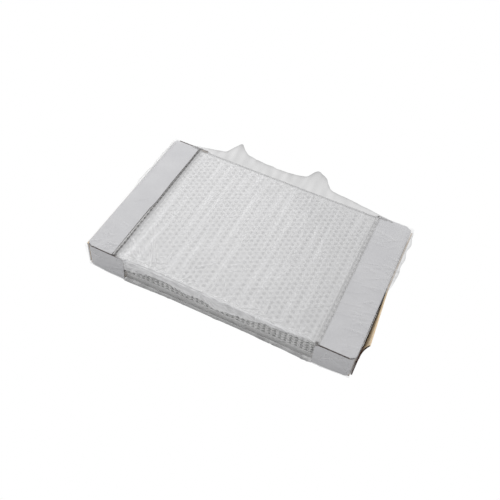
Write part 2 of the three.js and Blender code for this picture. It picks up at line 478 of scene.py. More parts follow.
def tray_border(name, high, foot, arched):
    """The strip from the lattice to the rim, and the ribbed wall under it down to foot."""
    deck = high[2]
    lattice_x = COLUMNS * COLUMN_SPACING / 2
    lattice_y = ROWS * CELL_SPACING / 2
    mesh = bmesh.new()
    outline = rounded_outline(high[0], high[1])
    rings = [[mesh.verts.new((max(-lattice_x, min(lattice_x, x)),
                              max(-lattice_y, min(lattice_y, y)), deck))
              for x, y, *_ in outline]]
    edge_drops = ((0.6 * FLANGE_DROP, 0.0), (0.0, 0.4 * FLANGE_DROP), (0.0, FLANGE_DROP),
                  (FLANGE + RIB_DEPTH, FLANGE_DROP))
    wall_shares = (0.15, 1.0)
    for inset, drop in edge_drops:
        rings.append([mesh.verts.new((x - nx * inset, y - ny * inset, deck - drop))
                      for x, y, nx, ny, _ in outline])
    full = deck - foot
    arch_start = 2 * ARCH_SHARE - 1
    for share in wall_shares:
        loop = []
        for x, y, nx, ny, phase in outline:
            wave = 0.0 if phase is None else math.cos(math.tau * phase)
            reach = full
            if arched and phase is not None and wave < arch_start:
                open_share = min(1.0, ARCH_STEEPNESS * (arch_start - wave) / (2 * ARCH_SHARE))
                reach = full - (full - ARCH_TOP) * open_share ** 0.5
            out = RIB_DEPTH * wave - FLANGE - RIB_DEPTH
            z = deck - FLANGE_DROP - (reach - FLANGE_DROP) * share
            loop.append(mesh.verts.new((x + nx * out, y + ny * out, z)))
        rings.append(loop)
    for outer, within in zip(rings[1:], rings):
        bridge(mesh, outer, within)
    bmesh.ops.remove_doubles(mesh, verts=mesh.verts, dist=1e-6)
    data = bpy.data.meshes.new(name)
    mesh.to_mesh(data)
    mesh.free()
    tray = bpy.data.objects.new(name, data)
    scene.collection.objects.link(tray)
    return tray


# %% [markdown]
# The tree makes one column of points along Y, one row of column places along X, and puts a
# cell at each. A column whose index is odd has one cell fewer, and flat half patches close its
# two ends. The thin sheet then gets its thickness: it is extruded downwards, and the copy that
# stays on top closes it.

# %% Geometry Nodes tree of a plug tray


class GeoTree(Tree):
    """The same helper for a geometry tree."""

    def group_input(self, name, kind, default=None):
        socket = self.tree.interface.new_socket(name, in_out="INPUT", socket_type=kind)
        if default is not None:
            socket.default_value = default
        return socket.identifier

    def xyz(self, **axes):
        return self.add("ShaderNodeCombineXYZ", **axes)

    def join(self, *parts):
        node = self.add("GeometryNodeJoinGeometry")
        for part in parts:
            self.feed(node.inputs[0], part)
        return node


def lattice_points(tree, given, rows, first_column, columns):
    """Points of every second column: rows along Y, columns along X two spacings apart."""
    pitch_x, pitch_y = given["Column Spacing"], given["Cell Spacing"]
    half_span = tree.math("MULTIPLY", tree.math("SUBTRACT", rows, 1.0), -0.5)
    line_y = tree.add("GeometryNodeMeshLine", {"mode": "OFFSET"}, Count=rows,
                      Offset=tree.xyz(Y=pitch_y),
                      Start_Location=tree.xyz(Y=tree.math("MULTIPLY", half_span, pitch_y)))
    middle = tree.math("MULTIPLY", tree.math("SUBTRACT", given["Columns"], 1.0), 0.5)
    first = tree.math("MULTIPLY", tree.math("SUBTRACT", first_column, middle), pitch_x)
    line_x = tree.add("GeometryNodeMeshLine", {"mode": "OFFSET"}, Count=columns,
                      Offset=tree.xyz(X=tree.math("MULTIPLY", pitch_x, 2.0)),
                      Start_Location=tree.xyz(X=first, Z=given["Deck Height"]))
    placed = tree.add("GeometryNodeInstanceOnPoints", Points=line_x, Instance=line_y)
    return tree.add("GeometryNodeRealizeInstances", Geometry=placed)


def tray_tree():
    group = bpy.data.node_groups.new("plug_tray", "GeometryNodeTree")
    tree = GeoTree(group)
    group.interface.new_socket("Geometry", in_out="OUTPUT", socket_type="NodeSocketGeometry")
    names = {name: tree.group_input(name, f"NodeSocket{kind}", default) for name, kind, default in (
        ("Border", "Geometry", None), ("Cell", "Object", None),
        ("Columns", "Int", COLUMNS), ("Rows", "Int", ROWS),
        ("Column Spacing", "Float", COLUMN_SPACING), ("Cell Spacing", "Float", CELL_SPACING),
        ("Deck Height", "Float", 0.0), ("Sheet", "Float", SHEET), ("Material", "Material", None))}
    given = tree.add("NodeGroupInput").outputs
    cell = tree.add("GeometryNodeObjectInfo", {"transform_space": "ORIGINAL"},
                    Object=given["Cell"]).outputs["Geometry"]
    few_rows = tree.math("SUBTRACT", given["Rows"], 1.0)
    half_up = tree.math("MULTIPLY", tree.math("ADD", given["Columns"], 1.0), 0.5)
    half_down = tree.math("MULTIPLY", tree.math("SUBTRACT", given["Columns"], 1.0), 0.5)
    full = lattice_points(tree, given, given["Rows"], 0.0, half_up)
    shifted = lattice_points(tree, given, few_rows, 1.0, half_down)
    half_patch = tree.add("GeometryNodeMeshGrid", Vertices_X=3, Vertices_Y=2,
                          Size_X=given["Column Spacing"],
                          Size_Y=tree.math("MULTIPLY", given["Cell Spacing"], 0.5))
    ends = lattice_points(tree, given, 2, 1.0, half_down)
    to_edge = tree.math("SUBTRACT", given["Rows"], 0.5)
    spread = tree.add("GeometryNodeTransform", Geometry=ends,
                      Scale=tree.xyz(X=1.0, Y=to_edge, Z=1.0))
    lattice = tree.join(*(
        tree.add("GeometryNodeInstanceOnPoints", Points=points, Instance=instance)
        for points, instance in ((full, cell), (shifted, cell), (spread, half_patch))))
    whole = tree.add("GeometryNodeRealizeInstances", Geometry=lattice)
    welded = tree.add("GeometryNodeMergeByDistance", Geometry=whole, Distance=2e-5)
    both = tree.join(welded, given["Border"])
    under = tree.add("GeometryNodeExtrudeMesh", {"mode": "FACES"}, Mesh=both, Individual=False,
                     Offset_Scale=tree.math("MULTIPLY", given["Sheet"], -1.0))
    thick = tree.join(under, tree.add("GeometryNodeFlipFaces", Mesh=both))
    closed = tree.add("GeometryNodeMergeByDistance", Geometry=thick, Distance=1e-5)
    outward = tree.add("GeometryNodeFlipFaces", Mesh=closed)
    painted = tree.add("GeometryNodeSetMaterial", Geometry=outward, Material=given["Material"])
    tree.feed(tree.add("NodeGroupOutput").inputs[0], painted)
    return group, names


TRAY_TREE, TRAY_INPUTS = tray_tree()


def plain_mesh(carrier):
    """Turns what a modifier makes into the object's own mesh, and takes the modifier away."""
    evaluated = carrier.evaluated_get(bpy.context.evaluated_depsgraph_get())
    data = bpy.data.meshes.new_from_object(evaluated)
    carrier.modifiers.clear()
    carrier.data = data


# %% [markdown]
# The cups of the nested trays sit in each other, so only the top tray and the bottom tray show
# whole cups. Theirs have drain holes.

# %% Make the six trays
NEST_FOOT = 1.2 * MM
RIM_GAP = 0.4 * MM
for index, node_name in enumerate(tray_names):
    high = tray_box[node_name][1]
    outermost = index in (0, len(tray_names) - 1)
    deck_below = tray_box[tray_names[index - 1]][1][2] if index else NEST_FOOT
    tray = tray_border(f"{node_name}_formed_sheet", high, deck_below + RIM_GAP, arched=index > 0)
    modifier = tray.modifiers.new("cells", "NODES")
    modifier.node_group = TRAY_TREE
    modifier[TRAY_INPUTS["Cell"]] = drained_cell if outermost else plain_cell
    modifier[TRAY_INPUTS["Deck Height"]] = high[2]
    modifier[TRAY_INPUTS["Material"]] = TRAY_PLASTIC
    plain_mesh(tray)
    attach(tray, "tray_stack")
    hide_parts(node_name)
    print(node_name, len(tray.data.polygons), "faces")

# %% [markdown]
# ## Folded board
# Each panel of a cap is a sheet of board with a white face, a kraft face and raw edges. The
# helper takes a grid of points on the white face and gives the sheet its thickness. The cut
# edge is a groove between the two liners, as on real corrugated board.

# %% Board sheet helper
LINER = 0.45 * MM
GROOVE_START = 1.3 * LINER
EDGE_GROOVE = 0.7 * MM


def grid_normals(points):
    along = np.gradient(points, axis=0)
    across = np.gradient(points, axis=1)
    normals = np.cross(along, across)
    return normals / np.linalg.norm(normals, axis=2, keepdims=True)


def board_faces(points, thickness, raw_edges=(True, True, True, True), kraft_sides=()):
    """Vertices, faces and face materials of a board sheet: 0 white, 1 kraft, 2 cut edge.

    points is a grid on the white face whose normals point out of it. raw_edges says which of
    the sides (first row, last row, first column, last column) are cut, and the others are
    creases. kraft_sides lists the cut sides whose edge is kraft brown rather than dark.
    """
    rows, columns = points.shape[:2]
    normals = grid_normals(points)
    inside = points - normals * thickness
    vertices = np.concatenate([points.reshape(-1, 3), inside.reshape(-1, 3)]).tolist()
    back = rows * columns
    faces, kinds = [], []
    for i in range(rows - 1):
        for j in range(columns - 1):
            a, b = i * columns + j, (i + 1) * columns + j
            faces.append((a, b, b + 1, a + 1))
            kinds.append(0)
            faces.append((back + a, back + a + 1, back + b + 1, back + b))
            kinds.append(1)
    loop = ([(0, j, 0) for j in range(columns - 1)]
            + [(i, columns - 1, 3) for i in range(rows - 1)]
            + [(rows - 1, j, 1) for j in range(columns - 1, 0, -1)]
            + [(i, 0, 2) for i in range(rows - 1, 0, -1)])
    middle = points.reshape(-1, 3).mean(axis=0)
    for k, (i, j, side) in enumerate(loop):
        ni, nj, _ = loop[(k + 1) % len(loop)]
        kind = (1 if side in kraft_sides else 2) if raw_edges[side] else 0
        corner = [points[i, j], points[ni, nj]]
        normal = [normals[i, j], normals[ni, nj]]
        run = corner[1] - corner[0]
        inward = np.cross(run, normal[0])
        inward /= max(np.linalg.norm(inward), 1e-12)
        if np.dot(inward, middle - corner[0]) < 0:
            inward = -inward
        depth = EDGE_GROOVE if raw_edges[side] else 0.0
        rungs = []
        for at, into in ((0.0, 0.0), (LINER, 0.0), (GROOVE_START, depth),
                         (thickness - GROOVE_START, depth), (thickness - LINER, 0.0),
                         (thickness, 0.0)):
            rungs.append([corner[e] - normal[e] * at + inward * into for e in (0, 1)])
        start = len(vertices)
        for pair in rungs:
            vertices.extend(p.tolist() for p in pair)
        for r in range(len(rungs) - 1):
            low = start + 2 * r
            faces.append((low, low + 1, low + 3, low + 2))
            kinds.append(kind)
    return vertices, faces, kinds


def board_piece(name, sheets, body, node):
    """One object made of several board sheets that were cut from one blank."""
    vertices, faces, kinds = [], [], []
    for sheet_vertices, sheet_faces, sheet_kinds in sheets:
        start = len(vertices)
        vertices.extend(sheet_vertices)
        faces.extend(tuple(start + v for v in face) for face in sheet_faces)
        kinds.extend(sheet_kinds)
    data = bpy.data.meshes.new(name)
    data.from_pydata(vertices, [], faces)
    for material in (WHITE_LINER, KRAFT, CUT_EDGE):
        data.materials.append(material)
    data.polygons.foreach_set("material_index", kinds)
    mesh = bmesh.new()
    mesh.from_mesh(data)
    bmesh.ops.remove_doubles(mesh, verts=mesh.verts, dist=2e-5)
    bmesh.ops.recalc_face_normals(mesh, faces=mesh.faces)
    mesh.to_mesh(data)
    mesh.free()
    piece = bpy.data.objects.new(name, data)
    scene.collection.objects.link(piece)
    for face in data.polygons:
        face.use_smooth = face.material_index == 0
    data.set_sharp_from_angle(angle=math.radians(40))
    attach(piece, body)
    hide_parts(node)
    print(name, len(data.polygons), "faces")


RIPPLE_WAVES = 6
RIPPLE_SCALE = 3.5


def ripple(a, b, size, seed):
    """A smooth pseudo-random value, mostly within -1 to 1, over two coordinates in metres."""
    chance = random.Random(seed)
    total = np.zeros(np.broadcast(a, b).shape)
    for _ in range(RIPPLE_WAVES):
        angle = chance.uniform(0, math.tau)
        wave = size * chance.uniform(0.7, 1.6)
        phase = chance.uniform(0, math.tau)
        along = a * math.cos(angle) + b * math.sin(angle)
        total = total + np.sin(math.tau * along / wave + phase)
    return total / RIPPLE_SCALE


# %% [markdown]
# The fixed part of a cap is a strip folded round the corners from side wall to end wall to side
# wall, and a bottom panel. The corners are rounded, because board crushes where it folds. The
# front walls stop a little short of the lid, and the left cap's back wall stands up behind it.

# %% Cap shells
CORNER_ROUND = 12 * MM
FLARE = 3 * MM
FLARE_RUN = 60 * MM
SIDE_WALL_FROM = 0.18
WALL_STEP = 6 * MM
FRONT_SHORT = 1.6 * MM
INNER_SHORT = 3.0 * MM
INNER_RUN = 8 * MM
TAB_INSET = 5 * MM
TAB_WIDTH = 34 * MM
TAB_LEAN = 1.6 * MM


def smooth(share):
    return share * share * (3 - 2 * share)


def wall_flare(x, y, z):
    """How far a cap's side walls bulge outwards, most at the foot of their inner end."""
    inward = np.clip((HALF_LENGTH - np.abs(x)) / FLARE_RUN, 0, 1)
    return FLARE * np.clip(1 - z / CAP_TOP, 0, 1) * smooth(inward) * (np.abs(y) > SIDE_WALL_FROM)


def u_path(side, inner):
    """The plan of the folded strip, from the front wall's inner edge round to the back's."""
    x, y, radius = HALF_LENGTH, CAP_HALF_WIDTH, CORNER_ROUND
    run = x - radius - abs(inner)
    count = int(run / WALL_STEP)
    wall = [(abs(inner) + run * k / count, -y) for k in range(count)]
    arc = [(x - radius + radius * math.sin(a), -y + radius - radius * math.cos(a))
           for a in np.linspace(0, math.pi / 2, 7)]
    span = 2 * (y - radius)
    count = int(span / (2 * WALL_STEP))
    end_wall = [(x, -y + radius + span * k / count) for k in range(1, count)]
    back = [(px, -py) for px, py in reversed(wall + arc)]
    return np.array([(side * px, py) for px, py in wall + arc + end_wall + back])


def wall_strip(side, low, high):
    inner = high[0] if side < 0 else low[0]
    path = u_path(side, inner)
    heights = np.linspace(low[2], high[2], 9)
    points = np.zeros((len(path), len(heights), 3))
    points[:, :, 0] = path[:, None, 0]
    points[:, :, 1] = path[:, None, 1]
    wall_from = CAP_HALF_WIDTH - 0.5 * MM
    behind = np.clip((path[:, 1] - wall_from) / (0.4 * MM), 0, 1) * (side < 0)
    in_front = np.clip((-path[:, 1] - wall_from) / (0.4 * MM), 0, 1)
    inner_end = np.clip(1 - np.abs(path[:, 0] - inner) / INNER_RUN, 0, 1)
    lowered = in_front * (FRONT_SHORT + INNER_SHORT * inner_end)
    up = heights[None, :] / high[2]
    raised = CAP_TOP - 0.5 * MM - high[2]
    points[:, :, 2] = heights[None, :] + behind[:, None] * up * raised
    points[:, :, 2] -= lowered[:, None] * up ** 4
    x, y, z = np.moveaxis(points, 2, 0)
    dent = 0.35 * MM * (ripple(x + y, z, 0.11, 5 + side) - 1.0)
    normals = grid_normals(points) * (1 if side > 0 else -1)
    points += normals * dent[:, :, None]
    x, y, z = np.moveaxis(points, 2, 0)
    points[:, :, 1] += np.sign(y) * wall_flare(x, y, z)
    if side < 0:
        points = points[::-1]
    return board_faces(points, BOARD, (True, True, False, True))


def corner_tab():
    """The glued tab on the right end wall, beside the free end of the end flap."""
    ys = np.linspace(-CAP_HALF_WIDTH + TAB_INSET, -CAP_HALF_WIDTH + TAB_INSET + TAB_WIDTH, 10)
    zs = np.linspace(CAP_BOTTOM + TAB_INSET, FLAP_UNDER - 1 * MM, 8)
    up = (zs[None, :] - CAP_BOTTOM) / CAP_TOP
    points = np.zeros((len(ys), len(zs), 3))
    points[:, :, 0] = HALF_LENGTH + BOARD - 0.2 * MM + TAB_LEAN * up ** 2
    points[:, :, 1] = ys[:, None]
    points[:, :, 2] = zs[None, :]
    return board_faces(points, BOARD - 0.3 * MM)


def bottom_panel(side, low, high):
    inner = high[0] if side < 0 else low[0]
    xs = np.linspace(inner, side * (HALF_LENGTH - 2 * MM), 8)
    ys = np.linspace(-CAP_HALF_WIDTH + BOARD + 0.1 * MM, CAP_HALF_WIDTH - BOARD - 0.1 * MM, 28)
    points = np.zeros((len(xs), len(ys), 3))
    points[:, :, 0] = xs[:, None]
    points[:, :, 1] = ys[None, :]
    points[:, :, 2] = low[2]
    if side > 0:
        points = points[:, ::-1]
    if grid_normals(points)[0, 0, 2] > 0:
        points = points[::-1]
    return board_faces(points, BOARD)


for side_name, side in SIDES.items():
    low, high = shell_box[side_name]
    panels = [wall_strip(side, low, high), bottom_panel(side, low, high)]
    if side > 0:
        panels.append(corner_tab())
    board_piece(f"{side_name}_cap_folded_shell", panels,
                f"{side_name}_cap", f"{side_name}_cap_shell")

# %% [markdown]
# The top flap rolls over the end wall's crease and lies on the trays. Its inner edge was cut by
# hand-fed knives, so it wanders a little, and the left one has a small jog near its middle.

# %% Top flaps
CREASE_ROUND = 2.2 * MM
FLAP_STEPS = (16, 60)
JOG = {"left": (-0.03, 2.6 * MM), "right": (0.04, 1.2 * MM)}
JOG_RUN = 0.006
BACK_REVEAL = BOARD + 0.4 * MM


def top_flap(side_name, side):
    low, high = top_flap_box[side_name]
    depth = high[0] - low[0]
    ys = np.linspace(low[1], high[1] - (BACK_REVEAL if side < 0 else 0), FLAP_STEPS[1])
    roll = [(CREASE_ROUND * (1 - math.sin(a)), CREASE_ROUND * (1 - math.cos(a)))
            for a in np.linspace(math.pi / 2, 0, 5)]
    flat = [(CREASE_ROUND + (depth - CREASE_ROUND) * k / FLAP_STEPS[0], 0.0)
            for k in range(1, FLAP_STEPS[0] + 1)]
    profile = roll + flat
    points = np.zeros((len(profile), len(ys), 3))
    jog_place, jog_size = JOG[side_name]
    jog = jog_size * (1 / (1 + np.exp((ys - jog_place) / JOG_RUN)))
    wander = 0.5 * MM * ripple(ys, 0 * ys, 0.2, 11 + side) + jog
    near_corner = np.clip(CORNER_ROUND - (CAP_HALF_WIDTH - np.abs(ys)), 0, CORNER_ROUND)
    cut_back = CORNER_ROUND - np.sqrt(np.maximum(CORNER_ROUND ** 2 - near_corner ** 2, 0))
    for i, (inset, drop) in enumerate(profile):
        share = inset / depth
        reach = inset + (1 - share) * cut_back - share * wander
        points[i, :, 0] = side * (HALF_LENGTH - reach)
        points[i, :, 1] = ys
        sag = 0.4 * MM * share * (ripple(inset + 0 * ys, ys, 0.15, 23 + side) - 1.0)
        points[i, :, 2] = high[2] - drop + sag
    if grid_normals(points)[-1, 0, 2] < 0:
        points = points[:, ::-1]
    return board_faces(points, BOARD, (False, True, True, True))


for side_name, side in SIDES.items():
    board_piece(f"{side_name}_cap_top_cover", [top_flap(side_name, side)],
                f"{side_name}_top_flap", f"{side_name}_cap_top_flap")

# %% [markdown]
# The end flap is a panel creased to the bottom. The left one lies flat on the wall. The film
# holds the right one at the back, and it bows out only towards its free front corner.

# %% End flaps
FLAP_GAP = 0.3 * MM
FLAP_LEAN = 0.06
CORNER_BOW = 11.5 * MM
FREE_FROM = 0.01
FREE_RUN = 0.155


def end_flap(side_name, side):
    low, high = end_flap_box[side_name]
    lean = max(0.0, (high[0] - low[0]) - BOARD)
    foot_x = side * (HALF_LENGTH + FLAP_GAP + BOARD)
    ys = np.linspace(low[1], high[1], 44)
    ups = np.linspace(0, 1, 12)
    points = np.zeros((len(ups), len(ys), 3))
    free = np.clip((FREE_FROM - ys) / FREE_RUN, 0, 1) if side > 0 else 0 * ys
    for i, t in enumerate(ups):
        outward = lean * FLAP_LEAN * t + CORNER_BOW * free * t ** 2.4
        points[i, :, 0] = foot_x + side * outward
        points[i, :, 1] = ys
        points[i, :, 2] = low[2] + (high[2] - low[2]) * t
    normals = grid_normals(points)
    if normals[0, 0, 0] * side < 0:
        points = points[:, ::-1]
    return board_faces(points, BOARD, (False, True, side > 0, side > 0), kraft_sides=(1,))


for side_name, side in SIDES.items():
    board_piece(f"{side_name}_cap_end_cover", [end_flap(side_name, side)],
                f"{side_name}_end_flap", f"{side_name}_cap_end_flap")

# %% [markdown]
# ## The film
# One thin film goes round the pack. It is drawn as a tube of points: s runs round the section
# from the front top edge, and x along the pack. It lies over the caps, sinks onto the trays
# between them, stands off their foot near the caps' walls, and carries creases: narrow ridges,
# each a line with a bell-shaped section.

# %% Film surface
FILM_STEP = 2.2 * MM
TOP_REST = TOP_DECK + 0.5 * MM
SINK_RUN = 9 * MM
LEFT_EDGE = top_flap_box["left"][1][0]
RIGHT_EDGE = top_flap_box["right"][0][0]
LEFT_WALL = shell_box["left"][1][0]
RIGHT_WALL = shell_box["right"][0][0]
FILM_FLOOR = 0.15 * MM
SINK_INSET = 1 * MM
SIDE_LIFT = 0.9 * MM
TRAY_HALF_WIDTH = tray_box[tray_names[-1]][1][1]


def between(x, left, right, run):
    """1 well between left and right, 0 outside them, smooth over run."""
    rise = np.clip((x - left) / run, 0, 1)
    fall = np.clip((right - x) / run, 0, 1)
    return smooth(np.minimum(rise, fall))


def film_points(x, count):
    """The film's points (x, s, 3) and outward normals before creases, s, and s at the corners."""
    sunk_top = between(x, LEFT_EDGE + SINK_INSET, RIGHT_EDGE - SINK_INSET, SINK_RUN)
    sunk_side = between(x, LEFT_WALL + SINK_INSET, RIGHT_WALL - SINK_INSET, SINK_RUN)
    half = FILM_HALF_WIDTH - (FILM_HALF_WIDTH - TRAY_HALF_WIDTH - SIDE_LIFT) * sunk_side
    top = PACK_TOP - (PACK_TOP - TOP_REST) * sunk_top
    bottom = FILM_FLOOR + 0 * x
    width, height = 2 * FILM_HALF_WIDTH, PACK_TOP - FILM_FLOOR
    knots = np.concatenate([[0], np.cumsum([width, height, width, height])])
    s = np.linspace(0, knots[-1], count, endpoint=False)
    y = np.zeros((len(x), count))
    z = np.zeros((len(x), count))
    ny = np.zeros(count)
    nz = np.zeros(count)
    for k, value in enumerate(s):
        part = int(np.searchsorted(knots, value, side="right") - 1)
        t = (value - knots[part]) / (knots[part + 1] - knots[part])
        if part == 0:  # top, from front to back
            y[:, k], z[:, k], nz[k] = half * (2 * t - 1), top, 1
        elif part == 1:  # back, going down
            y[:, k], z[:, k], ny[k] = half, top + (bottom - top) * t, 1
        elif part == 2:  # bottom, from back to front
            y[:, k], z[:, k], nz[k] = half * (1 - 2 * t), bottom, -1
        else:  # front, going up
            y[:, k], z[:, k], ny[k] = -half, bottom + (top - bottom) * t, -1
    points = np.stack([np.repeat(x[:, None], count, axis=1), y, z], axis=2)
    normals = np.zeros_like(points)
    normals[:, :, 1] = ny[None, :]
    normals[:, :, 2] = nz[None, :]
    return points, normals, s, knots


def crease_heights(x, s, creases):
    """The summed ridge heights at each (x, s). A crease is (x, s, angle, length, width, height)."""
    gx, gs = np.meshgrid(x, s, indexing="ij")
    total = np.zeros_like(gx)
    for cx, cs, angle, length, width, height in creases:
        dx, ds = gx - cx, gs - cs
        along = dx * math.cos(angle) + ds * math.sin(angle)
        off = -dx * math.sin(angle) + ds * math.cos(angle)
        taper = np.clip(1 - (2 * along / length) ** 2, 0, 1)
        total += height * taper * np.exp(-((off / width) ** 2))
    return total


# The three long bright creases at the front left: x, s, angle and length.
LONG_CREASES = ((-0.175, 0.045, 2.05, 0.10), (-0.165, 0.040, 2.15, 0.08), (-0.195, 0.03, 2.3, 0.06))
LONG_CREASE_SIZE = (1.3 * MM, 2.0 * MM)
FACE_HEIGHT = 0.069


def film_creases(knots, seed):
    """Creases by region: short ones near the long top edges, a few long ones over the caps."""
    chance = random.Random(seed)
    even, near = chance.uniform, chance.expovariate
    top_end = knots[1]

    def long_edges():
        at_front = chance.random() < 0.6
        s = near(30) if at_front else top_end - near(30)
        return even(-0.3, 0.3), s

    regions = (  # how many, where, angle and its spread, length in m, width and height in mm
        (110, long_edges, (0.6, 0.6), (0.015, 0.05), (1.1, 2.0), (0.2, 0.7)),
        # the crumpled corner beside the left cap
        (60, lambda: (-0.235 + near(22), near(28)),
         (2.1, 0.5), (0.02, 0.05), (1.0, 1.8), (0.4, 1.3)),
        # long soft folds over the open top
        (40, lambda: (even(-0.24, 0.23), even(0.02, top_end - 0.02)),
         (1.45, 0.25), (0.08, 0.25), (2, 5), (0.08, 0.3)),
        # pulled along the pack over the right cap
        (46, lambda: (even(0.24, 0.31), even(0.01, top_end - 0.01)),
         (0.1, 0.25), (0.03, 0.09), (1.5, 3), (0.4, 1.2)),
        # left cap, mostly its front corner
        (24, lambda: (even(-0.3, -0.25), near(18)),
         (0.5, 0.7), (0.02, 0.06), (1.2, 2.2), (0.4, 1.3)),
        # front face, then back face
        (110, lambda: (even(-0.3, 0.3), knots[3] + even(0, FACE_HEIGHT)),
         (0.2, 0.6), (0.02, 0.08), (1.3, 2.6), (0.3, 1.2)),
        (70, lambda: (even(-0.3, 0.3), knots[1] + even(0, FACE_HEIGHT)),
         (0.2, 0.6), (0.02, 0.08), (1.3, 2.6), (0.3, 1.2)),
    )
    found = [(*where(), chance.gauss(*angle), even(*length), even(*width) * MM, even(*height) * MM)
             for count, where, angle, length, width, height in regions for _ in range(count)]
    return found + [(*crease, *LONG_CREASE_SIZE) for crease in LONG_CREASES]


def sheet_object(name, points, haze, shade, closed_round):
    rows, columns = points.shape[:2]
    faces = []
    for i in range(rows - 1):
        for j in range(columns if closed_round else columns - 1):
            k = (j + 1) % columns
            here, beyond = i * columns, (i + 1) * columns
            faces.append((here + j, beyond + j, beyond + k, here + k))
    data = bpy.data.meshes.new(name)
    data.from_pydata(points.reshape(-1, 3).tolist(), [], faces)
    data.materials.append(CLEAR_FILM)
    data.polygons.foreach_set("use_smooth", [True] * len(faces))
    for label, values in (("haze", haze), ("shade", shade)):
        attribute = data.attributes.new(label, "FLOAT", "POINT")
        attribute.data.foreach_set("value", np.clip(values, 0, 1).ravel().tolist())
    film = bpy.data.objects.new(name, data)
    scene.collection.objects.link(film)
    return film


def finish_film(piece):
    """Attaches a film piece to the tray stack and prints its face count."""
    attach(piece, "tray_stack")
    print(piece.name, len(piece.data.polygons), "faces")


# %% [markdown]
# The tube is made in three pieces that meet over the lids' inner edges. The middle one stays on
# the trays. Haze and shade follow the shape: soft light bands run across the trays, painted
# shadow lies beside the lids, a dark strip over the left lid's cut edge paints its dark line and
# its shadow, and a spot of painted shade marks the gap at each inner corner of a lid.

# %% Film tube
PERIMETER_POINTS = 420
# How white the film is: over the caps, over the trays, what a band adds, and at the sides.
CAP_HAZE, TRAY_HAZE, BAND_HAZE = 0.10, 0.56, 0.11
SIDE_HAZE, LID_CLEARER, FOOT_HAZE, STREAK_HAZE = 0.15, 0.09, 0.52, 0.10
BAND_SPACING = 2 * COLUMN_SPACING
BAND_WIDTH = 0.45
CREASE_WHITE = 0.22
CREASE_FULL = 1.2 * MM
# How dark: on top, between the bands, painted shadow by the lids, painted shade on the sides.
# Scales every shade value, so that only the painted strip at the left lid's edge and the corner
# gaps' painted shade reach the darkest colour.
SHADE_SCALE = 0.706
TOP_SHADE, BAND_SHADE, LID_SHADOW, SIDE_SHADE = 0.2, 0.05, 0.3, 0.75
# Width and haze of the dark strip over the left lid's cut edge: its dark line and painted shadow.
EDGE_AND_SHADOW_RUN = 4.4 * MM
EDGE_AND_SHADOW_HAZE = 0.62
# Size of the painted shade at the gap by each inner corner of a lid.
GAP_SHADE_RADIUS = 2.6 * MM


def film_tone(points, normals, height):
    """The haze and painted shade of each point: hazier over the trays than over board."""
    x, y, z = np.moveaxis(points, 2, 0)
    top = normals[:, :, 2] > 0
    over_trays = between(x, LEFT_EDGE, RIGHT_EDGE + 4 * MM, 2.5 * MM)
    wander = 0.35 * ripple(x, y, 0.2, 33)
    bands = np.exp(-(np.sin(math.pi * x / BAND_SPACING + wander) / BAND_WIDTH) ** 2)
    bands = bands * np.clip(0.9 + 0.9 * ripple(x, 0.4 * y, 0.06, 35), 0, 1.4)
    streaks = ripple(0.25 * x, z, 0.006, 37)
    low = np.clip(1.5 - z / (10 * MM), 0, 1)
    near_lid = np.clip((z - 60 * MM) / (4 * MM), 0, 1)
    side = SIDE_HAZE - LID_CLEARER * near_lid
    # Near the foot the sides are hazier, so their painted shade darkens towards the floor.
    side += (between(x, LEFT_WALL - 3 * MM, RIGHT_WALL + 3 * MM, 5 * MM)
             * (FOOT_HAZE * low + STREAK_HAZE * streaks))
    haze = np.where(top, CAP_HAZE + over_trays * (TRAY_HAZE + BAND_HAZE * bands), side)
    # Painted shadow of the lids on the film beside their inner edges.
    lid_shadow = np.clip(1.5 - np.abs(x - RIGHT_EDGE) / (10 * MM), 0, 1)
    lid_shadow += 0.8 * np.clip(1.2 - np.abs(x - LEFT_EDGE) / (16 * MM), 0, 1)
    on_top = TOP_SHADE + (BAND_SHADE - BAND_SHADE * bands + LID_SHADOW * lid_shadow) * over_trays
    # The sides of the tube get an even painted shade.
    shade = np.where(top, on_top, SIDE_SHADE * between(x, LEFT_WALL, RIGHT_WALL, 8 * MM))
    # A dark strip over the left lid's cut edge paints the edge's dark line and its shadow.
    past_edge = x - LEFT_EDGE
    dark = np.where(top & (past_edge > -0.1 * MM),
                    np.clip((EDGE_AND_SHADOW_RUN - past_edge) / (EDGE_AND_SHADOW_RUN / 2), 0, 1), 0)
    # A spot of painted shade marks the dark gap at each inner corner of a lid.
    for gap_x in (LEFT_EDGE + 1.5 * MM, RIGHT_EDGE - 1.5 * MM):
        apart = np.hypot(x - gap_x, np.abs(y) - (FILM_HALF_WIDTH - 3 * MM)) / GAP_SHADE_RADIUS
        dark = np.maximum(dark, np.where(top, 1.35 * np.clip(2.2 - 1.2 * apart, 0, 1), 0))
    shade = np.maximum(SHADE_SCALE * shade, np.clip(dark, 0, 1))
    haze = np.maximum(haze, EDGE_AND_SHADOW_HAZE * dark)
    return haze + CREASE_WHITE * np.clip(height / CREASE_FULL, 0, 1), shade


FOOT_RUN = 9 * MM
SOFT_LIFT = 0.35 * MM
MOST_LIFT = 2.8 * MM


def stand_off(x, y, z):
    """How far the film stands away from the trays' sides at each point, most near the caps."""
    beside = between(x, LEFT_WALL, RIGHT_WALL, FOOT_RUN)
    near_caps = beside * (1 - between(x, LEFT_WALL, RIGHT_WALL, 130 * MM))
    low = np.clip(1.05 - z / CAP_TOP, 0, 1)
    off_side = np.clip((np.abs(y) - 0.17) / 0.02, 0, 1)
    share = (0.25 + 0.75 * near_caps[:, None]) * low * off_side
    return (FILM_HALF_WIDTH - TRAY_HALF_WIDTH) * share * beside[:, None]


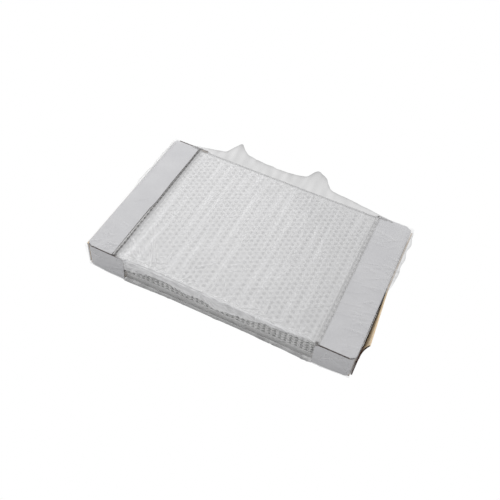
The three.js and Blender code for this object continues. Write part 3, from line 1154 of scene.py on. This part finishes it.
def ragged_end(points, haze, shade, x, s, sign, lip):
    """Lets the film's open end reach past the cap, unevenly, and by lip along the back half."""
    y, z = points[0, :, 1], points[0, :, 2]
    upper = np.clip((z - 0.35 * CAP_TOP) / (0.3 * CAP_TOP), 0, 1)
    ragged = 2 * MM * upper * (1 + ripple(s, 0 * s, 0.05, 41 + sign))
    behind = np.clip((y + 0.02) / 0.05, 0, 1) * np.clip((CAP_HALF_WIDTH - y) / 0.02, 0, 1)
    lifted = behind * np.clip((z - 0.6 * CAP_TOP) / (0.4 * CAP_TOP), 0, 1)
    fade = np.clip((sign * x - (HALF_LENGTH - 9 * MM)) / (9 * MM), 0, 1)
    haze += 0.62 * fade[:, None] * lifted[None, :]
    dark = 0.5 * SHADE_SCALE * fade[:, None] * (0.4 + 0.6 * lifted)[None, :]
    np.maximum(shade, dark, out=shade)
    points[:, :, 0] += sign * fade[:, None] * (ragged + lip * lifted)[None, :]
    points[:, :, 2] -= (0.35 * fade ** 2)[:, None] * (lip * lifted)[None, :]


def film_tube(name, start, end, sign, lip):
    x = np.linspace(start, end, max(8, int((end - start) / FILM_STEP)) + 1)
    points, normals, s, knots = film_points(x, PERIMETER_POINTS)
    height = crease_heights(x, s, film_creases(knots, 7))
    soft = SOFT_LIFT * (1 + ripple(points[:, :, 0], s[None, :], 0.07, 3))
    lift = np.clip(height + soft, 0, MOST_LIFT)
    lift[normals[:, :, 2] < 0] = 0
    points += normals * lift[:, :, None]
    px, py, pz = np.moveaxis(points, 2, 0)
    py += np.sign(py) * np.where(normals[:, :, 1] != 0, wall_flare(px, py, pz), 0)
    haze, shade = film_tone(points, normals, height)
    py += np.sign(py) * stand_off(x, py, pz)
    if lip > 0:
        ragged_end(points, haze, shade, x, s, sign, lip)
    return sheet_object(name, points, haze, shade, closed_round=True)


film_parts = {  # start, end, and at the open end its side and how far its lip reaches
    "film_over_trays": (LEFT_EDGE, RIGHT_EDGE, 0, 0.0),
    "film_over_left_cap": (-HALF_LENGTH, LEFT_EDGE, -1, 1 * MM),
    "film_over_right_cap": (RIGHT_EDGE, HALF_LENGTH, 1, 8 * MM),
}
made_film = {}
for piece_name, (start, end, sign, lip) in film_parts.items():
    made_film[piece_name] = film_tube(piece_name, start, end, sign, lip)
    finish_film(made_film[piece_name])

# %% [markdown]
# A second layer of film hangs over the upper part of the front. It is whiter, because it is
# wrinkled, and its lower edge swings in shallow scallops.

# %% Film skirt
SKIRT_LEFT = LEFT_WALL - 6 * MM
SKIRT_RIGHT = RIGHT_WALL - 12 * MM
SKIRT_OVER = 7 * MM
SKIRT_BEND = 0.3
SKIRT_ROUND = 1.8 * MM
SKIRT_HEIGHT = 0.045
SKIRT_HAZE = 0.8
# Where a dark line of painted shadow runs along the free edge: start and end along the pack.
FREE_EDGE_SHADOW_SPANS = ((-0.185, -0.128), (-0.112, -0.060), (0.092, 0.205))
# Along the pack and above the floor: where the free edge hangs low and where it is drawn up.
SKIRT_EDGE = (
    (-0.222, 0.034), (-0.200, 0.037), (-0.165, 0.043), (-0.145, 0.051), (-0.105, 0.053),
    (-0.085, 0.044), (-0.064, 0.041), (-0.042, 0.047), (-0.014, 0.043), (0.000, 0.033),
    (0.016, 0.036), (0.050, 0.045), (0.090, 0.048), (0.105, 0.056), (0.145, 0.060), (0.230, 0.064))


def smooth_line(x, knots, reach):
    """A line through knots, averaged over reach points to each side."""
    line = np.interp(x, *zip(*knots))
    count = 2 * reach + 1
    return np.convolve(np.pad(line, reach, mode="edge"), np.ones(count) / count, mode="valid")


def skirt_creases():
    chance = random.Random(17)
    even = chance.uniform
    return [(even(SKIRT_LEFT, SKIRT_RIGHT), even(0, SKIRT_HEIGHT), chance.gauss(0.3, 0.5),
             even(0.015, 0.06), even(0.9, 1.8) * MM, even(0.4, 1.3) * MM) for _ in range(130)]


def skirt_points(x, t):
    """The layer's points (x, t, 3): over the top edge first, then down to the free edge."""
    foot = smooth_line(x, SKIRT_EDGE, 3) + 0.8 * MM * ripple(x, 0 * x, 0.018, 57)
    over = SKIRT_OVER + 3 * MM * ripple(x, 0 * x, 0.12, 71)
    top = TOP_REST + 1.6 * MM
    front = -TRAY_HALF_WIDTH - 3.2 * MM
    points = np.zeros((len(x), len(t), 3))
    for k, value in enumerate(t):
        points[:, k, 0] = x
        if value < SKIRT_BEND:
            turn = value / SKIRT_BEND * math.pi / 2
            points[:, k, 1] = front + over * (1 - math.sin(turn))
            points[:, k, 2] = top - SKIRT_ROUND * (1 - math.cos(turn))
        else:
            run = (value - SKIRT_BEND) / (1 - SKIRT_BEND)
            drop = np.minimum(foot, top - 3 * MM) - top + SKIRT_ROUND
            points[:, k, 1] = front
            points[:, k, 2] = top - SKIRT_ROUND + drop * run
    return points


def film_skirt():
    x = np.linspace(SKIRT_LEFT, SKIRT_RIGHT, 230)
    t = np.linspace(0, 1, 30)
    points = skirt_points(x, t)
    gx, gt = np.meshgrid(x, t, indexing="ij")
    hang = np.clip((gt - 0.15) / 0.85, 0, 1)
    points[:, :, 1] -= 1.1 * MM * (1 + ripple(gx, 0.02 * gt, 0.022, 91)) * hang
    crumple = crease_heights(x, np.linspace(0, SKIRT_HEIGHT, len(t)), skirt_creases())
    points[:, :, 1] -= crumple
    haze = SKIRT_HAZE + 0.1 * ripple(gx, 0.05 * gt, 0.03, 29) + 0.3 * np.clip(crumple / MM, 0, 1)
    fade_right = np.clip((0.24 - x) / 0.10, 0.35, 1)
    haze = haze * np.clip(gt / 0.12, 0.35, 1) * fade_right[:, None]
    # A dark line of painted shade along the fold where the layer turns over the top edge.
    fold_shade_run = between(x, -0.215, -0.01, 25 * MM)
    fold_shade_line = fold_shade_run[:, None] * np.exp(-((gt - 0.13) / 0.03) ** 2)
    # A dark line of painted shadow along parts of the free edge.
    free_edge_shadow_run = sum(between(x, left, right, 10 * MM) for left, right in FREE_EDGE_SHADOW_SPANS)
    free_edge_shadow_run = free_edge_shadow_run * np.clip(0.55 + 1.1 * ripple(x, 0 * x, 0.012, 63), 0, 1)
    free_edge_shadow = free_edge_shadow_run[:, None] * np.clip((gt - 0.9) / 0.05, 0, 1)
    dark = np.maximum(free_edge_shadow, 0.7 * fold_shade_line)
    haze = np.maximum(haze, 0.95 * dark)
    points, haze, shade = (grid[:, ::-1] for grid in (points, haze, SHADE_SCALE * dark))
    skirt = sheet_object("film_front_skirt", points, haze, shade, closed_round=False)
    finish_film(skirt)


film_skirt()

# %% [markdown]
# The seam of the film stands up along the back as a ruffled fin, pulled into two peaks where
# the film was gripped.

# %% Film fin
FIN_BACK = film_high[1] - FILM_HALF_WIDTH
FIN_HAZE = 0.5
FIN_SHADE = 0.7 * SHADE_SCALE
FIN_ROOT = TRAY_HALF_WIDTH - 4 * MM
FIN_RISE = 0.9
# Along the pack, and how far the edge of the fin stands out, as a share of the tallest peak.
FIN_EDGE = (
    (-0.262, 0.02), (-0.235, 0.12), (-0.195, 0.24), (-0.172, 0.34), (-0.152, 0.82),
    (-0.144, 1.0), (-0.136, 0.84), (-0.118, 0.55), (-0.085, 0.48), (-0.040, 0.42),
    (0.000, 0.45), (0.036, 0.58), (0.052, 0.95), (0.062, 1.0), (0.080, 0.86), (0.094, 0.50),
    (0.104, 0.34), (0.140, 0.30), (0.180, 0.20), (0.225, 0.10), (0.262, 0.02))


def film_fin():
    start, end = FIN_EDGE[0][0], FIN_EDGE[-1][0]
    x = np.linspace(start, end, 260)
    t = np.linspace(0, 1, 18)
    uneven = 1 + 0.05 * ripple(x, 0 * x, 0.03, 13)
    reach = ((FIN_BACK + 3 * MM) * smooth_line(x, FIN_EDGE, 2) * uneven)[:, None]
    gx, gt = np.meshgrid(x, t, indexing="ij")
    broad = 1.2 * MM * ripple(gx, gt * 0.02, 0.034, 19)
    ruffle = (broad + 0.7 * MM * ripple(gx, gt * 0.02, 0.013, 23)) * gt ** 0.7
    points = np.zeros((len(x), len(t), 3))
    points[:, :, 0] = gx + 0.4 * ruffle
    points[:, :, 1] = FIN_ROOT + (reach + FILM_HALF_WIDTH - 3 * MM - FIN_ROOT) * gt + ruffle
    points[:, :, 2] = TOP_REST + 2.4 * MM + reach * gt * FIN_RISE - 0.7 * ruffle
    haze = FIN_HAZE + 0.07 * ripple(gx, gt * 0.02, 0.02, 43) + 0.3 * gt ** 8
    fin = sheet_object("film_back_fin", points, haze, FIN_SHADE + 0 * haze, closed_round=False)
    finish_film(fin)


film_fin()
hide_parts("film_wrap")

# %% [markdown]
# Each end piece of film over a cap gets a mesh of its own.

# %% Own meshes for the film over the caps
for side_name, edge_x in (("left", LEFT_EDGE), ("right", RIGHT_EDGE)):
    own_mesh(made_film[f"film_over_{side_name}_cap"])

# %% [markdown]
# The hand-made cells have served their purpose and go.

# %% Finish
for helper in (drained_cell, plain_cell):
    bpy.data.objects.remove(helper, do_unlink=True)
